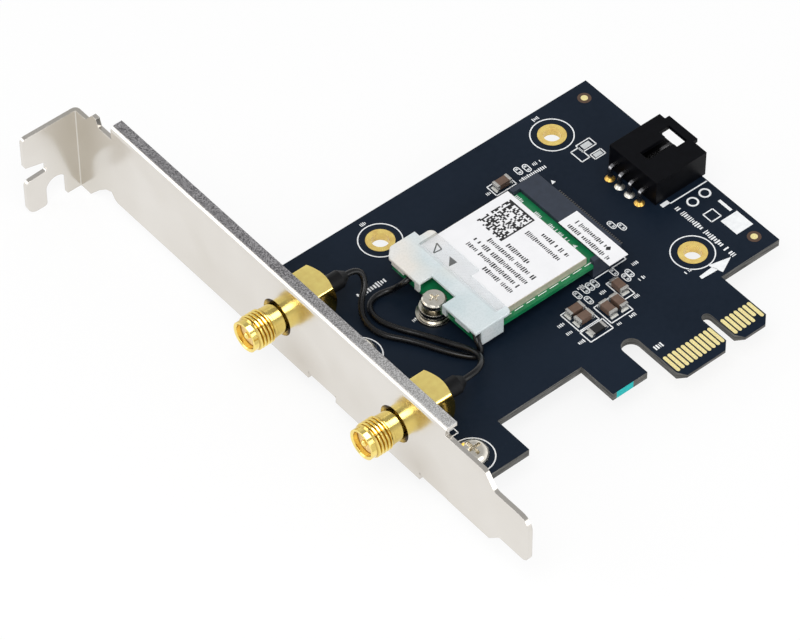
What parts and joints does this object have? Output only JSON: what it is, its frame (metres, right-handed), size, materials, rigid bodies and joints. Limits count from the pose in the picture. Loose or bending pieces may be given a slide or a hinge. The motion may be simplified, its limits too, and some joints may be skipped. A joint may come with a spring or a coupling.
{
  "type": "wireless network expansion card",
  "caption": "Desktop expansion card with an edge connector, folded steel bracket, threaded antenna jacks, a plug-in radio module under a clear clip, and a shrouded pin header.",
  "frame": {"origin": "middle of the key notch (x), contact edge of the tongue (y), component face of the carrier board (z)", "axes": "+X from the bracket along the card, +Y from the contact edge to the bracket's top tab, +Z out of the component face"},
  "size_m": [0.093, 0.12, 0.0225],
  "materials": {
    "bracket_steel": "nickel-plated sheet steel, glossy face and grained folds",
    "board_laminate": "satin dark navy solder mask over glass laminate",
    "gold_plate": "bright gold plating",
    "jack_gold": "gold-plated turned brass",
    "screw_steel": "plated steel",
    "insulator": "warm off-white insulator",
    "sleeve_black": "black heat-shrink",
    "cable_black": "black satin jacket",
    "plug_metal": "tinned",
    "module_green": "green solder mask",
    "shield_metal": "tinned steel",
    "label_white": "matte white film",
    "clip_clear": "milky translucent",
    "socket_dark": "dark moulding",
    "tin": "bright tin",
    "header_black": "black moulding",
    "capacitor_brown": "brown fired ceramic",
    "resistor_black": "black glaze",
    "solder": "solder"
  },
  "bodies": {
    "root": {"bracket": "bracket_steel", "main_board": "board_laminate", "edge_contacts": "gold_plate", "hole_platings": "gold_plate", "fiducials": "gold_plate", "bracket_screws": "screw_steel", "module_board": "module_green", "module_contacts": "gold_plate", "module_shield": "shield_metal", "module_label": "label_white", "module_receptacles": "plug_metal", "module_screw": "screw_steel", "module_standoff": "screw_steel", "antenna_clip": "clip_clear", "socket_housing": "socket_dark", "socket_contacts": "tin", "socket_label": "label_white", "header_housing": "header_black", "header_pins": "tin", "header_solder": "solder", "solder_pads": "solder", "capacitor_bodies": "capacitor_brown", "capacitor_terminals": "tin", "resistor_bodies": "resistor_black", "resistor_terminals": "tin", "sma_body_upper": "jack_gold", "sma_insulator_upper": "insulator", "sma_pin_upper": "jack_gold", "heat_shrink_upper": "sleeve_black", "antenna_cable_upper": "cable_black", "cable_plug_upper": "plug_metal", "sma_body_lower": "jack_gold", "sma_insulator_lower": "insulator", "sma_pin_lower": "jack_gold", "heat_shrink_lower": "sleeve_black", "antenna_cable_lower": "cable_black", "cable_plug_lower": "plug_metal"}
  },
  "joints": []
}
